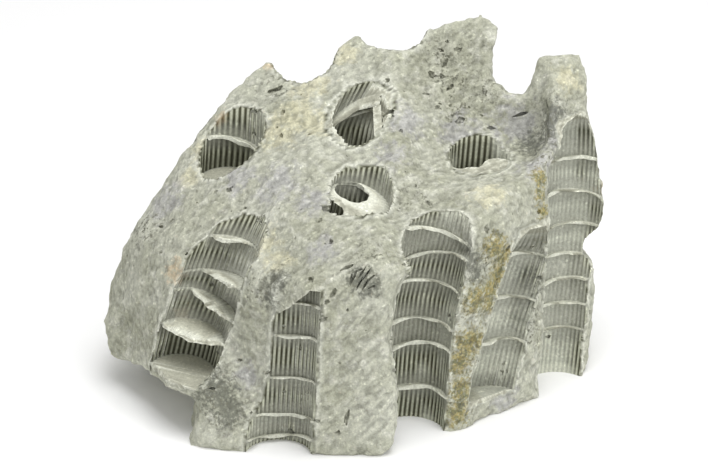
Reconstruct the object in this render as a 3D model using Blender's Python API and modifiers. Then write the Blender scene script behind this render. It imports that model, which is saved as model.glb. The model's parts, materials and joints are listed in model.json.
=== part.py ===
"""Fossil fletcheria coral: a broken block of pale limestone, crossed by the hollow tubes of a Silurian
coral. The tubes stand side by side and nearly upright. Each is lined with upright ribs, the septa, and
was closed off every few millimetres by a thin cross wall, a tabula. Where the block broke through a
tube, the tube shows as an open groove or a hole with what is left of its cross walls.

The whole fossil is one stone, so it is one solid: a rough hull round the block's corners, with hollows
carved out of it where it is dished, and with every tube cut out. A tube's cutter is waisted at each
cross wall, so the wall is the stone that the cutter leaves. Written in millimetres and made in metres,
+Z up. The origin is on the resting plane, below the middle of the block."""

import math

import bmesh
import bpy
from mathutils import Vector, noise

MM = 0.001

# The middle of the resting block, in the millimetres below: the part's origin.
MIDDLE = Vector((0.1, 0.5, 0.0))

# The stone's surface.
GRAIN = 2.82
ROUGHNESS = ((9.0, 1.8), (4.0, 1.0))

# Farther than the block reaches to any side.
BEYOND = 80.0

# The tubes: ribs in a full turn, the ribs' height, a cross wall's thickness, the small steps in which
# a cutter goes from its ribbed turn to a cross wall's, and how much of the tube a cross wall's turn takes.
RIBS = 13
BACK_RIBS = 8
RIB_HEIGHT = 0.4
CROSS_WALL = 0.55
STEP = 0.02
WALL_SHARE = 0.93

FOOT_CORNERS = (
    (-22.6, -17.8, -1.0),
    (-12.3, -19.4, -1.0),
    (-5.0, -21.2, -1.0),
    (4.6, -20.6, -1.0),
    (14.4, -12.6, -1.0),
    (21.4, -5.2, -1.0),
    (30.4, 0.8, -1.0),
    (30.0, 12.0, -1.0),
    (20.0, 18.6, -1.0),
    (5.0, 21.2, -1.0),
    (-12.0, 19.8, -1.0),
    (-25.0, 12.0, 0.0),
    (-27.2, -6.8, 1.0),
    (-31.0, -1.4, 2.6),
)
FLANK_CORNERS = (
    (-32.8, 0.2, 7.2),
    (-31.6, 4.0, 11.0),
    (-28.6, 2.0, 18.8),
    (-29.0, 11.0, 12.0),
    (-22.0, 17.0, 12.0),
    (6.0, 22.0, 12.0),
    (28.6, 15.6, 16.0),
    (32.0, 6.0, 22.5),
    (29.8, 1.4, 9.5),
)
SHOULDER_CORNERS = (
    (-22.8, -6.6, 20.6),
    (-11.3, -17.6, 14.6),
    (-4.0, -19.6, 21.8),
    (4.2, -17.4, 24.6),
    (15.2, -10.4, 27.4),
    (23.6, -3.4, 22.6),
    (28.9, 8.0, 32.0),
)
CREST_CORNERS = (
    (-24.2, 5.0, 24.6),
    (-19.3, 9.0, 31.4),
    (-14.9, 14.0, 36.5),
    (-11.4, 16.2, 38.5),
    (0.4, 17.8, 44.0),
    (9.5, 17.8, 45.2),
    (16.4, 18.2, 49.0),
    (22.6, 15.0, 41.0),
    (29.0, 15.0, 40.6),
    (27.6, 17.6, 33.0),
    (-8.0, 18.4, 33.0),
)

# The crest broke off along a jagged line. It is given across and up, as it runs BREAK_DEPTH behind
# the middle, and the break slopes down to the back by BREAK_SLOPE degrees.
BREAK_DEPTH = 16.0
BREAK_SLOPE = 25.0
CREST_BREAK = (
    (-19.1, 27.5), (-14.6, 34.7), (-11.0, 37.4), (-8.8, 34.7), (-5.3, 34.8), (-1.3, 39.5),
    (0.4, 40.8), (2.0, 38.5), (6.6, 38.5), (9.4, 41.2), (15.7, 43.3), (17.6, 42.8), (17.2, 34.6),
    (20.9, 31.9), (23.1, 37.4), (28.1, 37.7), (29.3, 27.5),
)

# Where the block is dished or broken back: each hollow is the hull of its own corners.
HOLLOWS = {
    "shoulder_hollow": (
        (4.2, 6.0, 37.4), (4.4, -12.5, 28.0), (10.5, 6.6, 30.6), (23.8, 8.4, 29.8),
        (10.5, -11.5, 29.4), (22.5, -4.5, 29.4), (4.5, 15.8, 42.4), (16.4, 16.2, 46.4),
        (25.0, 13.6, 40.0), (4.5, -14.0, 46.0), (27.0, -6.0, 46.0), (4.5, 16.4, 52.0),
        (26.0, 16.0, 52.0),
    ),
    "groove_brow": (
        (4.6, -18.0, 21.8), (16.5, -18.0, 21.8), (4.6, -3.5, 29.5), (16.5, -3.5, 29.5),
        (0.5, -18.0, 34.0), (20.0, -18.0, 34.0), (0.5, -3.5, 34.0), (20.0, -3.5, 34.0),
    ),
    "middle_dip": (
        (0.9, -1.9, 28.8), (-5.0, -4.0, 31.2), (6.0, -3.5, 31.4), (0.5, -9.5, 28.2),
        (0.5, 0.9, 33.0), (-5.0, -4.0, 40.0), (6.0, -3.5, 40.0), (0.5, -9.5, 40.0), (0.5, 0.9, 40.0),
    ),
    "left_undercut": (
        (-18.6, -21.0, 6.2), (-19.0, -11.0, 5.9), (-24.9, -8.9, 5.4), (-28.0, -6.0, 2.6),
        (-34.0, -4.0, 2.8), (-34.0, -21.0, 5.6), (-20.6, 2.0, 0.6), (-28.0, 4.0, 0.8),
        (-34.0, 4.0, 1.6), (-22.2, -21.0, -5.0), (-21.6, 2.0, -5.0), (-34.0, 4.0, -5.0),
        (-34.0, -21.0, -5.0),
    ),
    "right_waist": (
        (27.7, -1.0, 16.4), (27.7, 15.0, 15.4), (34.0, -3.0, 22.5), (34.0, 18.0, 21.0),
        (34.0, -3.0, 10.5), (34.0, 18.0, 10.0),
    ),
    "right_step": (
        (4.3, -26.0, -4.0), (4.9, -15.4, -4.0), (12.0, -13.8, -4.0), (15.0, -26.0, -4.0),
        (4.5, -26.0, 22.5), (5.6, -13.6, 22.5), (12.6, -12.0, 22.5), (15.5, -26.0, 22.5),
    ),
    "end_step": (
        (23.4, -14.0, -4.0), (23.4, 0.0, -4.0), (36.0, -0.8, -4.0), (36.0, -14.0, -4.0),
        (24.2, -14.0, 30.0), (24.2, 6.0, 30.0), (36.0, 5.0, 30.0), (36.0, -14.0, 30.0),
    ),
    "crest_gap": (
        (18.2, 15.0, 33.0), (22.6, 14.6, 33.0), (17.8, 15.2, 50.0), (23.2, 14.4, 50.0),
        (17.0, 26.0, 30.0), (24.6, 26.0, 30.0), (17.0, 26.0, 50.0), (25.0, 26.0, 50.0),
    ),
    "sole_hollow": (
        (-17.0, -9.0, -2.0), (-8.0, -14.0, -2.0), (4.0, -14.0, -2.0), (13.0, -6.0, -2.0),
        (22.0, 4.0, -2.0), (18.0, 12.0, -2.0), (4.0, 15.0, -2.0), (-10.0, 14.0, -2.0),
        (-19.0, 6.0, -2.0), (-9.0, -2.0, 2.6), (8.0, 3.0, 2.2), (-4.0, 6.0, 3.0),
    ),
}

# The stone that stayed over the front tube, above a slant.
FRONT_COVER = (
    (-18.0, -28.0, 8.4), (-18.0, -12.0, 8.4), (-1.0, -28.0, 27.9), (-1.0, -12.0, 27.9),
    (-18.0, -28.0, 40.0), (-18.0, -12.0, 40.0), (-1.0, -28.0, 40.0), (-1.0, -12.0, 40.0),
)


def new_object(name, mesh, collection):
    thing = bpy.data.objects.new(name, mesh)
    collection.objects.link(thing)
    return thing


def as_cutter(thing):
    thing.hide_render = True
    thing.display_type = "WIRE"
    return thing


def hull(name, corners, collection):
    """The convex solid round some corners, given in millimetres."""
    shell = bmesh.new()
    for corner in corners:
        shell.verts.new((Vector(corner) - MIDDLE) * MM)
    made = bmesh.ops.convex_hull(shell, input=shell.verts)
    inner = {part for part in made["geom_interior"] if isinstance(part, bmesh.types.BMVert)}
    bmesh.ops.delete(shell, geom=list(inner), context="VERTS")
    bmesh.ops.recalc_face_normals(shell, faces=shell.faces)
    mesh = bpy.data.meshes.new(name)
    shell.to_mesh(mesh)
    shell.free()
    return new_object(name, mesh, collection)


def broken_off(name, line, collection):
    """What broke off along the crest: all that lies above the jagged line."""
    around = line + (
        (BEYOND, line[-1][1]), (BEYOND, BEYOND), (-BEYOND, BEYOND), (-BEYOND, line[0][1]),
    )
    shell = bmesh.new()
    ends = []
    for back in (-0.5 * BEYOND, 0.5 * BEYOND):
        drop = (back - BREAK_DEPTH) * math.tan(math.radians(BREAK_SLOPE))
        ends.append([shell.verts.new((Vector((x, back, z - drop)) - MIDDLE) * MM) for x, z in around])
    shell.faces.new(ends[0])
    shell.faces.new(reversed(ends[1]))
    count = len(around)
    for i in range(count):
        following = (i + 1) % count
        shell.faces.new((ends[0][i], ends[1][i], ends[1][following], ends[0][following]))
    bmesh.ops.triangulate(shell, faces=shell.faces)
    bmesh.ops.recalc_face_normals(shell, faces=shell.faces)
    mesh = bpy.data.meshes.new(name)
    shell.to_mesh(mesh)
    shell.free()
    return as_cutter(new_object(name, mesh, collection))


def axis_at(path, height):
    """Where a tube's axis is at a height: straight runs between the points of its path."""
    for low, high in zip(path, path[1:]):
        if height <= high[2] or high is path[-1]:
            share = (height - low[2]) / (high[2] - low[2])
            return (
                low[0] + share * (high[0] - low[0]),
                low[1] + share * (high[1] - low[1]),
            )


def ring(path, height, slope, radius, ribs, waist=None):
    """One turn of a tube's wall, rib by rib, on a plane that may slope. At a cross wall, waist gives
    what has broken away: everything in front of an edge, or a hole. An edge is (facing, where it lies
    from the axis, its jaggedness), and a hole is (its centre, its radius)."""
    centre = axis_at(path, height)
    inner = WALL_SHARE * (radius - RIB_HEIGHT)
    points = []
    for i in range(2 * ribs):
        turn = 2.0 * math.pi * i / (2 * ribs)
        reach = radius - (RIB_HEIGHT if i % 2 else 0.0)
        x = reach * math.cos(turn)
        y = reach * math.sin(turn)
        if waist and waist[0] == "round":
            x = (inner + 2.0 * STEP) * math.cos(turn)
            y = (inner + 2.0 * STEP) * math.sin(turn)
        if waist and waist[0] == "edge":
            facing, edge, jag = math.radians(waist[1]), waist[2], waist[3]
            from_back = (turn - facing + math.pi) % math.tau - math.pi
            corner = math.acos(edge / inner)
            away = inner * math.cos(from_back)
            across = inner * math.sin(from_back)
            if abs(from_back) < corner:
                share = from_back / corner
                across = inner * math.sin(corner) * share
                rough = noise.noise(Vector((across * 0.6, height, 3.1)))
                away = edge + jag * rough * (1.0 - share**4)
            x = away * math.cos(facing) - across * math.sin(facing)
            y = away * math.sin(facing) + across * math.cos(facing)
        if waist and waist[0] == "hole":
            size = waist[3] * (1.0 + 0.35 * noise.noise(Vector((x * 0.4, y * 0.4, height))))
            x = waist[1] + size * math.cos(turn)
            y = waist[2] + size * math.sin(turn)
            far = math.hypot(x, y)
            if far > inner:
                x, y = x * inner / far, y * inner / far
        level = height + slope[0] * x + slope[1] * y
        points.append((Vector((centre[0] + x, centre[1] + y, level)) - MIDDLE) * MM)
    return points


def tube(name, path, radius, ribs, collection, walls=(), bottom=None, top=None, roof=0.0):
    """A tube's cutter: a drum that is drawn out upward ring by ring, and waisted at each cross wall.
    A wall is (height, slope across, slope back, waist), and so is an end, but for the waist. A tube
    that ends inside the stone has a roof, which draws in over that height."""
    bottom = bottom or (path[0][2], 0.0, 0.0)
    top = top or (path[-1][2], 0.0, 0.0)
    rings = []
    for height, across, back, waist in walls:
        slope = (across, back)
        half = CROSS_WALL / 2.0
        rings.append(ring(path, height - half, slope, radius, ribs))
        if waist[0] == "edge" and waist[2] > 0.3 * radius:
            rings.append(ring(path, height, slope, radius, ribs, waist))
        else:
            rings.append(ring(path, height - half + STEP, slope, radius, ribs, ("round",)))
            rings.append(ring(path, height - half + 2.0 * STEP, slope, radius, ribs, waist))
            rings.append(ring(path, height + half - 2.0 * STEP, slope, radius, ribs, waist))
            rings.append(ring(path, height + half - STEP, slope, radius, ribs, ("round",)))
        rings.append(ring(path, height + half, slope, radius, ribs))
    rings.append(ring(path, top[0], top[1:], radius, ribs))
    if roof:
        rings.append(ring(path, top[0] + 0.6 * roof, top[1:], 0.8 * radius, ribs))
        rings.append(ring(path, top[0] + roof, top[1:], 0.4 * radius, ribs))

    drum = bmesh.new()
    bmesh.ops.create_cone(
        drum, cap_ends=True, segments=2 * ribs, radius1=radius * MM, radius2=radius * MM, depth=MM
    )
    spot = drum.verts.layers.int.new("spot")
    lower = sorted(
        (v for v in drum.verts if v.co.z < 0.0), key=lambda v: math.atan2(v.co.y, v.co.x) % math.tau
    )
    upper = sorted(
        (v for v in drum.verts if v.co.z > 0.0), key=lambda v: math.atan2(v.co.y, v.co.x) % math.tau
    )
    first = ring(path, bottom[0], bottom[1:], radius, ribs)
    for i, (low, high) in enumerate(zip(lower, upper)):
        low[spot] = i
        high[spot] = i
        low.co = first[i]
        high.co = rings[0][i]
    marked = set(upper)
    cap = next(f for f in drum.faces if set(f.verts) == marked)
    for points in rings[1:]:
        made = bmesh.ops.extrude_discrete_faces(drum, faces=[cap])
        cap = made["faces"][0]
        for v in cap.verts:
            v.co = points[v[spot]]
    bmesh.ops.triangulate(drum, faces=drum.faces)
    bmesh.ops.recalc_face_normals(drum, faces=drum.faces)
    mesh = bpy.data.meshes.new(name)
    drum.to_mesh(mesh)
    drum.free()
    return as_cutter(new_object(name, mesh, collection))


def cut_all(thing, collection):
    """Take every cutter of a collection out of a solid, in one step."""
    step = thing.modifiers.new(collection.name, "BOOLEAN")
    step.operation = "DIFFERENCE"
    step.solver = "EXACT"
    step.operand_type = "COLLECTION"
    step.collection = collection


for old in list(bpy.data.objects):
    bpy.data.objects.remove(old, do_unlink=True)

parts = bpy.data.collections.new("fossil_fletcheria_coral")
hollows = bpy.data.collections.new("hollow_cutters")
tubes = bpy.data.collections.new("tube_cutters")
for group in (parts, hollows, tubes):
    bpy.context.scene.collection.children.link(group)

limestone = bpy.data.materials.new("limestone")
limestone.use_nodes = True
finish = limestone.node_tree.nodes["Principled BSDF"]
finish.inputs["Base Color"].default_value = (0.42, 0.44, 0.37, 1.0)
finish.inputs["Roughness"].default_value = 0.85
finish.inputs["Metallic"].default_value = 0.0

# The block, dished, then made rough all over.
block = hull("coral_block", FOOT_CORNERS + FLANK_CORNERS + SHOULDER_CORNERS + CREST_CORNERS, parts)
block.data.materials.append(limestone)
for label, corners in HOLLOWS.items():
    as_cutter(hull(label, corners, hollows))
cut_all(block, hollows)
skin = block.modifiers.new("even skin", "REMESH")
skin.mode = "VOXEL"
skin.voxel_size = 0.6 * GRAIN * MM
for size, depth in ROUGHNESS:
    lumps = bpy.data.textures.new("lumps", type="CLOUDS")
    lumps.noise_scale = size * MM
    lumps.noise_depth = 1
    rough = block.modifiers.new("lumps", "DISPLACE")
    rough.texture = lumps
    rough.texture_coords = "LOCAL"
    rough.mid_level = 0.5
    rough.strength = depth * MM
facets = block.modifiers.new("facets", "REMESH")
facets.mode = "VOXEL"
facets.voxel_size = GRAIN * MM

# The left tube is the deepest: it is open along its left side, and its cross walls are whole floors.
tube(
    "left_tube", ((-20.9, -12.6, 4.0), (-19.5, -11.8, 12.0), (-17.0, -10.2, 20.2), (-12.7, -8.8, 30.0)),
    4.4, RIBS, tubes, bottom=(7.3, -0.06, 0.1),
    walls=(
        (11.7, -0.10, 0.12, ("edge", 40.0, -1.6, 0.7)),
        (15.4, -0.12, 0.10, ("edge", 36.0, -0.8, 0.7)),
        (18.5, -0.10, 0.06, ("edge", 40.0, 1.0, 0.6)),
        (21.9, -0.12, 0.10, ("edge", 62.0, 2.2, 0.6)),
    ),
)

# The front tube is a shallow groove in the slab's face, and stone still covers it above a slant.
front_tube = tube(
    "front_tube", ((-9.6, -20.2, -3.0), (-6.7, -20.3, 21.6)), 4.1, RIBS, tubes,
    walls=(
        (3.6, -0.02, 0.0, ("edge", 90.0, 3.0, 0.3)),
        (8.6, -0.02, 0.0, ("edge", 90.0, 3.0, 0.3)),
        (14.3, -0.02, 0.0, ("edge", 90.0, 3.0, 0.3)),
        (18.7, -0.03, 0.0, ("edge", 90.0, 3.0, 0.3)),
    ),
)
covered = front_tube.modifiers.new("covered", "BOOLEAN")
covered.operation = "DIFFERENCE"
covered.solver = "EXACT"
covered.object = as_cutter(hull("front_cover", FRONT_COVER, hollows))

# The right-hand groove lies behind the slab's right edge, and is the deepest of the open ones.
tube(
    "right_tube", ((6.4, -14.3, -3.0), (7.9, -12.7, 15.0), (11.4, -11.4, 32.0)), 4.3, RIBS, tubes,
    walls=(
        (4.3, 0.03, 0.02, ("edge", 92.0, 2.0, 0.9)),
        (10.0, 0.06, 0.0, ("edge", 90.0, 2.1, 1.0)),
        (13.2, -0.04, 0.0, ("edge", 90.0, 2.7, 0.6)),
        (18.0, -0.10, 0.04, ("edge", 86.0, 2.1, 0.8)),
        (21.9, 0.08, 0.0, ("edge", 82.0, 2.4, 0.7)),
        (24.8, -0.30, 0.0, ("edge", 80.0, 2.0, 0.7)),
    ),
)

# The two grooves down the right flank.
tube(
    "flank_tube", ((15.2, -11.6, -3.0), (18.6, -8.2, 11.0), (22.2, -4.0, 21.4), (22.8, -3.0, 24.0)), 3.8,
    RIBS, tubes, bottom=(3.0, 0.0, -0.1), top=(20.4, 0.1, -0.3), roof=2.4,
    walls=(
        (8.4, 0.10, 0.04, ("edge", 126.0, 2.1, 0.6)),
        (13.6, -0.04, 0.0, ("edge", 126.0, 2.1, 0.6)),
        (18.6, -0.12, 0.0, ("edge", 126.0, 2.1, 0.6)),
    ),
)
tube(
    "end_tube", ((25.2, -2.4, -3.0), (26.4, 0.4, 11.0), (27.6, 4.0, 22.0), (28.0, 7.4, 34.0)),
    4.1, RIBS, tubes, top=(29.6, 0.0, 0.1), roof=3.0,
    walls=(
        (5.9, 0.02, 0.0, ("edge", 106.0, 2.3, 0.6)),
        (12.0, 0.10, 0.05, ("edge", 106.0, 2.1, 0.6)),
        (18.8, 0.08, 0.0, ("edge", 106.0, 2.3, 0.6)),
        (22.8, -0.10, 0.0, ("edge", 106.0, 2.3, 0.6)),
        (26.8, 0.0, 0.0, ("edge", 106.0, 2.4, 0.5)),
    ),
)

# The four tubes that open on top: each shows one or two chambers, down to a floor.
tube(
    "top_left_tube", ((-15.2, 4.6, 24.0), (-13.9, 6.4, 42.0)), 4.05, RIBS, tubes,
    bottom=(25.6, -0.03, 0.02), walls=((29.6, -0.22, -0.02, ("hole", -1.2, -1.3, 2.9)),),
)
tube(
    "top_middle_tube", ((-2.4, 3.0, 24.0), (-0.6, 4.6, 31.0), (3.4, 7.0, 40.0)), 4.3, RIBS, tubes,
    bottom=(27.8, 0.05, 0.0), walls=((33.2, 0.40, 0.12, ("hole", -0.3, -0.4, 3.5)),),
)
tube(
    "top_front_tube", ((-1.4, -6.9, 20.0), (0.2, -5.8, 28.0), (1.8, -4.8, 36.0)), 3.9, RIBS, tubes,
    bottom=(22.0, 0.0, 0.0), walls=((27.0, -0.06, 0.16, ("hole", -1.1, 1.0, 2.3)),),
)
tube(
    "top_right_tube", ((15.0, 2.9, 22.0), (16.2, 4.3, 38.0)), 3.95, RIBS, tubes,
    bottom=(25.0, -0.03, 0.06),
)

# The tubes that the back broke through: they notch the crest and run down the back.
tube(
    "back_left_tube", ((-8.6, 18.6, -3.0), (-6.6, 15.9, 30.0), (-6.0, 14.9, 46.0)), 4.1, BACK_RIBS,
    tubes,
    walls=(
        (6.4, 0.05, 0.0, ("edge", -90.0, 2.6, 0.5)),
        (13.2, -0.04, 0.0, ("edge", -90.0, 2.7, 0.5)),
        (19.4, 0.08, 0.0, ("edge", -90.0, 2.5, 0.5)),
        (27.0, -0.08, 0.0, ("edge", -90.0, 2.6, 0.5)),
    ),
)
tube(
    "back_middle_tube", ((3.0, 21.4, -3.0), (5.0, 18.2, 30.0), (5.8, 17.8, 46.0)), 4.1, BACK_RIBS,
    tubes,
    walls=(
        (5.0, 0.0, 0.0, ("edge", -90.0, 2.7, 0.5)),
        (11.6, 0.06, 0.0, ("edge", -90.0, 2.6, 0.5)),
        (18.0, -0.05, 0.0, ("edge", -90.0, 2.7, 0.5)),
        (24.2, 0.0, 0.0, ("edge", -90.0, 2.6, 0.5)),
        (31.6, 0.07, 0.0, ("edge", -90.0, 2.6, 0.5)),
    ),
)
tube(
    "back_right_tube", ((18.2, 20.2, -3.0), (19.4, 17.6, 26.0), (20.4, 16.6, 48.0)), 3.8, BACK_RIBS,
    tubes, top=(33.0, 0.0, 0.0),
    walls=(
        (7.2, 0.04, 0.0, ("edge", -84.0, 2.4, 0.5)),
        (14.2, 0.0, 0.0, ("edge", -84.0, 2.5, 0.5)),
        (21.4, 0.07, 0.0, ("edge", -84.0, 2.4, 0.5)),
        (28.6, 0.0, 0.0, ("edge", -84.0, 2.5, 0.5)),
    ),
)
tube(
    "far_left_tube", ((-24.6, 13.4, -3.0), (-23.2, 12.6, 16.0), (-22.0, 11.8, 32.0)), 4.0, BACK_RIBS,
    tubes,
    walls=(
        (6.2, 0.05, 0.0, ("edge", -40.0, 2.5, 0.5)),
        (12.6, 0.0, 0.0, ("edge", -40.0, 2.6, 0.5)),
        (19.0, -0.06, 0.0, ("edge", -40.0, 2.5, 0.5)),
    ),
)

# What broke off along the crest, and the resting plane.
broken_off("crest_break", CREST_BREAK, tubes)
bpy.ops.mesh.primitive_cube_add(size=BEYOND * MM, location=(0.0, 0.0, -0.5 * BEYOND * MM))
floor = as_cutter(bpy.context.object)
floor.name = "resting_plane"
for holder in list(floor.users_collection):
    holder.objects.unlink(floor)
tubes.objects.link(floor)
cut_all(block, tubes)
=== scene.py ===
"""The looks of a fossil fletcheria coral: a broken block of pale limestone, crossed by the tubes of a
Silurian coral. Every tube is lined with fine upright ribs and closed off by thin cross walls.

The block is one piece of stone. It is modelled here as the stone itself formed: the rough block first,
then the tubes and the pits taken out of it, then its grain and its stains. Lengths are in millimetres
unless a line says otherwise, and +Z is up."""

import json
import math
import random

import bmesh
import bpy
import numpy as np
from mathutils import Matrix, Vector, noise
from mathutils.bvhtree import BVHTree

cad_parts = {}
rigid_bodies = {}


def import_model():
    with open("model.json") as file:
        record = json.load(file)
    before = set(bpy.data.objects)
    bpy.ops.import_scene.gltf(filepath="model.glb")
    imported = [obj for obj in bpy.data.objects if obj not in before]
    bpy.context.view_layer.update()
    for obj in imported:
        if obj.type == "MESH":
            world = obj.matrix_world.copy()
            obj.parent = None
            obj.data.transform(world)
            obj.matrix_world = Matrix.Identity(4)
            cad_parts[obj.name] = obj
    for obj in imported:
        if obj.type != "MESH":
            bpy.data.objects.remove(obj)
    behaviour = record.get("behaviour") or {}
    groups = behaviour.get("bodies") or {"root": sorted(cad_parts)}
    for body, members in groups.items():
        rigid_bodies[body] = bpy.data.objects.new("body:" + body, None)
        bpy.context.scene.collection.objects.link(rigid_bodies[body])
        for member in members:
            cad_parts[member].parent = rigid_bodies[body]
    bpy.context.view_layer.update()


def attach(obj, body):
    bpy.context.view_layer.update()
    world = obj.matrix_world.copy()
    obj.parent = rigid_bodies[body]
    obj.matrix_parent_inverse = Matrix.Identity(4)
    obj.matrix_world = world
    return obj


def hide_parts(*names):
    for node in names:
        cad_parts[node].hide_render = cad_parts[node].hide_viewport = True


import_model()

# The camera: a long lens a little above the block, which looks at its broken face. Places on the
# stone are written as they were first laid out, and MIDDLE is the point there that comes to the origin.
MM = 0.001
MIDDLE = Vector((0.1, 0.5, 0.0))
LOOK_DOWN = math.radians(25.0)
AIM = Vector((0.0, 0.0, 20.05))
CAMERA_AWAY = 400.0
PICTURE_WIDTH = 708
PIXELS_OFF_MIDDLE = 1.0
MM_PER_PIXEL = 0.124
SENSOR = 36.0
NEAREST_SEEN = 10.0
lens = bpy.data.cameras.new("camera")
lens.sensor_width = SENSOR
lens.lens = SENSOR * CAMERA_AWAY / (MM_PER_PIXEL * PICTURE_WIDTH)
lens.shift_x = -PIXELS_OFF_MIDDLE / PICTURE_WIDTH
lens.clip_start = NEAREST_SEEN * MM
camera = bpy.data.objects.new("camera", lens)
bpy.context.scene.collection.objects.link(camera)
backward = Vector((0.0, -math.cos(LOOK_DOWN), math.sin(LOOK_DOWN)))
camera.location = (AIM - MIDDLE + backward * CAMERA_AWAY) * MM
camera.rotation_euler = (math.pi / 2.0 - LOOK_DOWN, 0.0, 0.0)
bpy.context.scene.camera = camera

# The block: one lump of limestone, broken off on every side. It starts as the hull of its corners,
# its hollows are carved out, and its broken faces are made rough, coarse lumps first. Each kind of lump
# is given with its size and its depth, and a level says how much of the depth lies below the face.
FOOT = (
    (-22.6, -17.8, -1.0), (-12.3, -19.4, -1.0), (-5.0, -21.2, -1.0), (4.6, -20.6, -1.0),
    (14.4, -12.6, -1.0), (21.4, -5.2, -1.0), (29.8, 1.0, -1.0), (30.0, 12.0, -1.0),
    (20.0, 18.6, -1.0), (5.0, 21.2, -1.0), (-12.0, 19.8, -1.0), (-25.0, 12.0, 0.0),
    (-27.2, -6.8, 1.0), (-31.0, -1.4, 2.6),
)
FLANK = (
    (-32.8, 0.2, 7.2), (-31.6, 4.0, 11.0), (-28.6, 2.0, 18.8), (-29.0, 11.0, 12.0),
    (-22.0, 17.0, 12.0), (6.0, 22.0, 12.0), (28.6, 15.6, 16.0), (31.4, 6.0, 22.5),
    (29.2, 1.6, 9.5),
)
SHOULDER = (
    (-22.8, -6.6, 20.6), (-11.3, -17.6, 14.6), (-4.0, -19.6, 21.8), (4.2, -17.4, 24.6),
    (15.2, -10.4, 27.4), (23.6, -3.4, 22.6), (28.9, 8.0, 32.0),
)
CREST = (
    (-24.2, 5.0, 24.6), (-19.3, 9.0, 31.4), (-14.9, 14.0, 36.5), (-11.4, 16.2, 38.5),
    (0.4, 17.2, 41.2), (9.5, 17.0, 42.0), (16.4, 16.6, 44.4), (22.6, 15.0, 40.0),
    (29.0, 15.0, 39.6), (27.6, 17.6, 33.0), (-8.0, 18.4, 33.0),
)
HOLLOWS = {
    "shoulder_hollow": (
        (4.2, 6.0, 37.4), (4.4, -12.5, 28.0), (10.5, 6.6, 30.6), (23.8, 8.4, 29.8),
        (10.5, -11.5, 29.4), (22.5, -4.5, 29.4), (4.5, 15.8, 42.4), (16.4, 16.2, 46.4),
        (25.0, 13.6, 40.0), (4.5, -14.0, 46.0), (27.0, -6.0, 46.0), (4.5, 16.4, 52.0),
        (26.0, 16.0, 52.0),
    ),
    "groove_brow": (
        (4.6, -18.0, 21.8), (16.5, -18.0, 21.8), (4.6, -3.5, 29.5), (16.5, -3.5, 29.5),
        (0.5, -18.0, 34.0), (20.0, -18.0, 34.0), (0.5, -3.5, 34.0), (20.0, -3.5, 34.0),
    ),
    "middle_dip": (
        (0.9, -1.9, 28.8), (-5.0, -4.0, 31.2), (6.0, -3.5, 31.4), (0.5, -9.5, 28.2),
        (0.5, 0.9, 33.0), (-5.0, -4.0, 40.0), (6.0, -3.5, 40.0), (0.5, -9.5, 40.0), (0.5, 0.9, 40.0),
    ),
    "left_undercut": (
        (-18.6, -21.0, 6.2), (-19.0, -11.0, 5.9), (-24.9, -8.9, 5.4), (-28.0, -6.0, 2.6),
        (-34.0, -4.0, 2.8), (-34.0, -21.0, 5.6), (-20.6, 2.0, 0.6), (-28.0, 4.0, 0.8),
        (-34.0, 4.0, 1.6), (-22.2, -21.0, -5.0), (-21.6, 2.0, -5.0), (-34.0, 4.0, -5.0),
        (-34.0, -21.0, -5.0),
    ),
    "right_waist": (
        (27.7, -1.0, 16.4), (27.7, 15.0, 15.4), (34.0, -3.0, 22.5), (34.0, 18.0, 21.0),
        (34.0, -3.0, 10.5), (34.0, 18.0, 10.0),
    ),
    "right_step": (
        (4.3, -26.0, -4.0), (4.9, -15.4, -4.0), (12.0, -13.8, -4.0), (15.0, -26.0, -4.0),
        (4.5, -26.0, 22.5), (5.6, -13.6, 22.5), (12.6, -12.0, 22.5), (15.5, -26.0, 22.5),
    ),
    "end_step": (
        (23.4, -14.0, -4.0), (23.4, 0.0, -4.0), (36.0, -0.8, -4.0), (36.0, -14.0, -4.0),
        (24.2, -14.0, 30.0), (24.2, 6.0, 30.0), (36.0, 5.0, 30.0), (36.0, -14.0, 30.0),
    ),
    "crest_gap": (
        (18.2, 15.0, 33.0), (22.6, 14.6, 33.0), (17.8, 15.2, 50.0), (23.2, 14.4, 50.0),
        (17.0, 26.0, 30.0), (24.6, 26.0, 30.0), (17.0, 26.0, 50.0), (25.0, 26.0, 50.0),
    ),
    "sole_hollow": (
        (-17.0, -9.0, -2.0), (-8.0, -14.0, -2.0), (4.0, -14.0, -2.0), (13.0, -6.0, -2.0),
        (22.0, 4.0, -2.0), (18.0, 12.0, -2.0), (4.0, 15.0, -2.0), (-10.0, 14.0, -2.0),
        (-19.0, 6.0, -2.0), (-9.0, -2.0, 2.6), (8.0, 3.0, 2.2), (-4.0, 6.0, 3.0),
    ),
}
COARSE = (("BLENDER_ORIGINAL", 9.0, 1.8), ("BLENDER_ORIGINAL", 4.0, 1.0))
COARSE_LEVEL = 0.62
COARSE_SKIN = 1.2
FINE = (("VORONOI_F1", 2.4, 0.6), ("BLENDER_ORIGINAL", 1.3, 0.35), ("VORONOI_F2_F1", 0.9, 0.3))
FINE_LEVEL = 0.42
FINE_SKIN = 0.56
BREAK_DEPTH = 16.0
CREST_BREAK = (
    (-19.1, 27.5), (-14.6, 34.7), (-11.0, 37.4), (-9.5, 35.7), (-8.2, 34.7), (-5.7, 34.7),
    (-3.8, 35.7), (-1.3, 39.5), (0.4, 40.8), (1.4, 39.1), (2.5, 38.5), (5.7, 38.2), (6.9, 38.7),
    (9.4, 41.2), (15.7, 43.3), (17.6, 42.8), (18.2, 41.4), (17.3, 38.5), (17.1, 34.4),
    (19.0, 32.6), (20.9, 31.9), (22.2, 33.3), (23.1, 37.4), (28.1, 37.7), (28.9, 35.1),
    (29.3, 27.5),
)
PAST_SIDES = 40.0
PAST_TOP = 70.0
PAST_FRONT = -30.0
PAST_BACK = 40.0


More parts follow.
